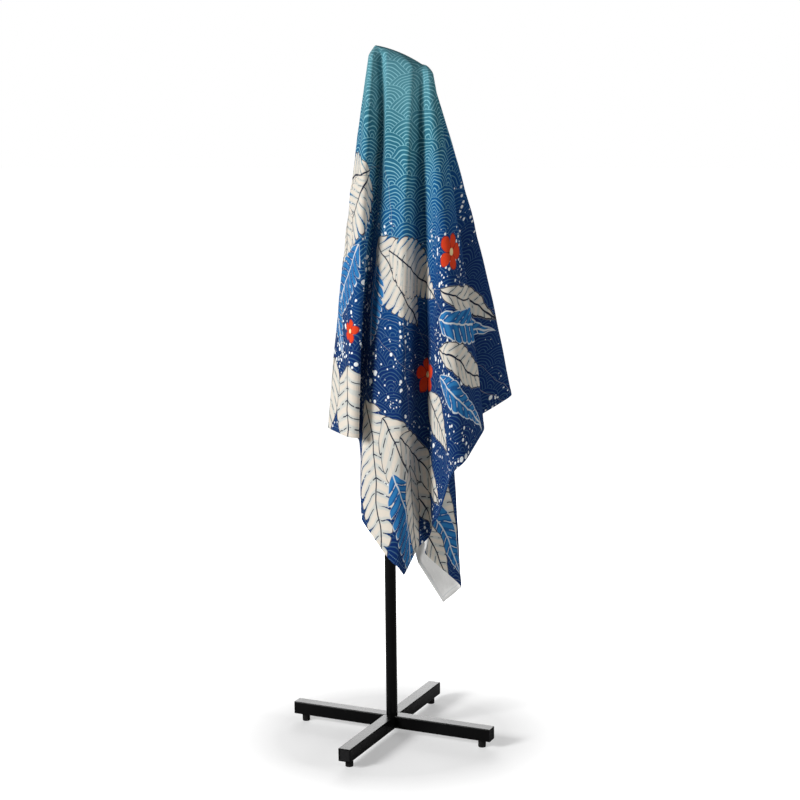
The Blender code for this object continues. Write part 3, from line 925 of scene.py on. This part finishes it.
def black_plastic():
    """Moulded plastic with fine ribs one above another."""
    material, tree, shader = new_material("ribbed_black_plastic", 0.5)
    point = object_point(tree)
    parts = tree.nodes.new("ShaderNodeSeparateXYZ")
    tree.links.new(point.socket, parts.inputs[0])
    ribs = calc("SINE", Signal(tree, parts.outputs[2]) * (2 * math.pi / RIB_PITCH))
    grain = fine_noise(tree, point, 1500.0)
    colour = blend_colour(tree, grain, (0.005, 0.005, 0.0055, 1), (0.011, 0.011, 0.012, 1))
    set_surface(tree, shader, colour, roughness=0.38 + grain * 0.16, specular=0.08)
    add_bump(tree, shader, ribs + grain * 0.3, RIB_DEPTH, strength=0.8)
    return material


def foot_rubber():
    material, tree, shader = new_material("foot_rubber", 0.8)
    point = object_point(tree)
    grain, dust = (fine_noise(tree, point, scale, detail=3.0) for scale in (900.0, 70.0))
    colour = blend_colour(tree, dust, (0.005, 0.005, 0.005, 1), (0.016, 0.0155, 0.015, 1))
    set_surface(tree, shader, colour, roughness=0.7 + grain * 0.2, specular=0.10)
    add_bump(tree, shader, grain, depth=0.0003)
    return material


def dress_stand():
    paint, plastic, rubber = black_paint(), black_plastic(), foot_rubber()
    for name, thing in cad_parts.items():
        if name.startswith(("beam", "hanger")) or name == "post":
            material = paint
        elif name.startswith("plug") or name == "post_cap":
            material = plastic
        elif name.startswith("foot"):
            material = rubber
        else:
            continue
        for place in thing.material_slots:
            place.material = material


# ---- floor, light and camera ------------------------------------------------------------------
FLOOR_HALF = 40.0
GLOW_NEAR, GLOW_FAR = 0.36, 1.0     # how much lighter the floor looks than its lamps make it: less so near the stand, which paints a pool of shade round it
GLOW_START, GLOW_END = 0.22, 0.50   # distances from the stand between which the glow grows
AMBIENT = 0.06               # the studio's soft light, and how light its walls look
WALLS = 1.0
# x, y, z: a lamp's place before the drape's turn, with -y in front of the towel and -x to its left.
# aim_height: where on the post's line it points.
LAMPS = (
    # name   x     y     z      aim_height size  power
    ("key",  -2.8, -2.0, 1.9,   0.80,      1.1,  145.0),
    ("fill", 3.3,  -1.3, 1.2,   0.80,      1.6,  42.0),
    ("back", 0.0,  1.9,  0.75,  0.03,      1.2,  24.0),
)
CAMERA_PLACE = (1.3543, -2.8965, 1.1777)
CAMERA_YAW, CAMERA_DIP, CAMERA_ROLL = (math.radians(a) for a in (24.66, 9.16, -0.61))
LENS = 76.6                  # millimetres, on a sensor 36 mm wide
SENSOR = 36.0


def make_floor():
    """A pale floor, lit up for the camera, and less so around the stand: a painted pool of shade there,
    where the stand's real shadow also shows.
    """
    data = bpy.data.meshes.new("floor")
    corners = [(x * FLOOR_HALF, y * FLOOR_HALF, 0) for x, y in ((-1, -1), (1, -1), (1, 1), (-1, 1))]
    data.from_pydata(corners, [], [(0, 1, 2, 3)])
    floor = bpy.data.objects.new("floor", data)
    bpy.context.scene.collection.objects.link(floor)
    material, tree, shader = new_material("pale_floor", 0.8, (0.6, 0.6, 0.6, 1))
    shader.inputs["Specular IOR Level"].default_value = 0.0
    shader.inputs["Emission Color"].default_value = (1, 1, 1, 1)
    seen = tree.nodes.new("ShaderNodeLightPath")
    away = tree.nodes.new("ShaderNodeVectorMath")
    away.operation = "LENGTH"
    tree.links.new(object_point(tree).socket, away.inputs[0])
    # the glow is dimmer near the stand, which paints a pool of shade round it
    far = between(Signal(tree, away.outputs["Value"]), GLOW_START, GLOW_END)
    glow = GLOW_NEAR + far * (GLOW_FAR - GLOW_NEAR)
    strength = Signal(tree, seen.outputs["Is Camera Ray"]) * glow
    tree.links.new(strength.socket, shader.inputs["Emission Strength"])
    data.materials.append(material)


def add_area(name, position, aim, size, power):
    lamp = bpy.data.lights.new(name, "AREA")
    lamp.shape = "DISK"
    lamp.size = size
    lamp.energy = power
    thing = bpy.data.objects.new(name, lamp)
    thing.location = position
    thing.visible_camera = False
    thing.rotation_mode = "QUATERNION"
    thing.rotation_quaternion = (aim - position).to_track_quat("-Z", "Y")
    bpy.context.scene.collection.objects.link(thing)


def light_scene():
    for name, x, y, z, aim_height, size, power in LAMPS:
        position = Matrix.Rotation(TURN, 3, "Z") @ Vector((x, y, z))
        add_area(name, position, Vector((0, 0, aim_height)), size, power)
    world = bpy.data.worlds.new("studio")
    bpy.context.scene.world = world
    world.use_nodes = True
    tree = world.node_tree
    seen = tree.nodes.new("ShaderNodeLightPath")
    strength = AMBIENT + Signal(tree, seen.outputs["Is Camera Ray"]) * (WALLS - AMBIENT)
    tree.nodes["Background"].inputs["Color"].default_value = (1.0, 1.0, 1.0, 1.0)
    tree.links.new(strength.socket, tree.nodes["Background"].inputs["Strength"])


def make_camera():
    data = bpy.data.cameras.new("camera")
    data.lens = LENS
    data.sensor_width = SENSOR
    camera = bpy.data.objects.new("camera", data)
    turn = (Matrix.Rotation(CAMERA_YAW, 4, "Z") @ Matrix.Rotation(math.radians(90) - CAMERA_DIP, 4, "X")
            @ Matrix.Rotation(CAMERA_ROLL, 4, "Z"))
    camera.matrix_world = Matrix.Translation(CAMERA_PLACE) @ turn
    bpy.context.scene.collection.objects.link(camera)
    bpy.context.scene.camera = camera


def main():
    bpy.context.scene.view_settings.view_transform = "Standard"
    make_camera()
    group = print_group()
    printed, reverse, thread = printed_cloth(group), plain_reverse(group), hem_thread()
    grid, flat, thickness = sheet_grid()
    panels = hung_places(grid)
    grid = settle(grid, flat)
    cloth = make_towel(grid, flat, thickness, panels, printed, reverse)
    stitches = make_stitches(grid, thread)
    for piece in (cloth, stitches):
        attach(piece, "root")
    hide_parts("towel")
    dress_stand()
    make_floor()
    light_scene()


main()
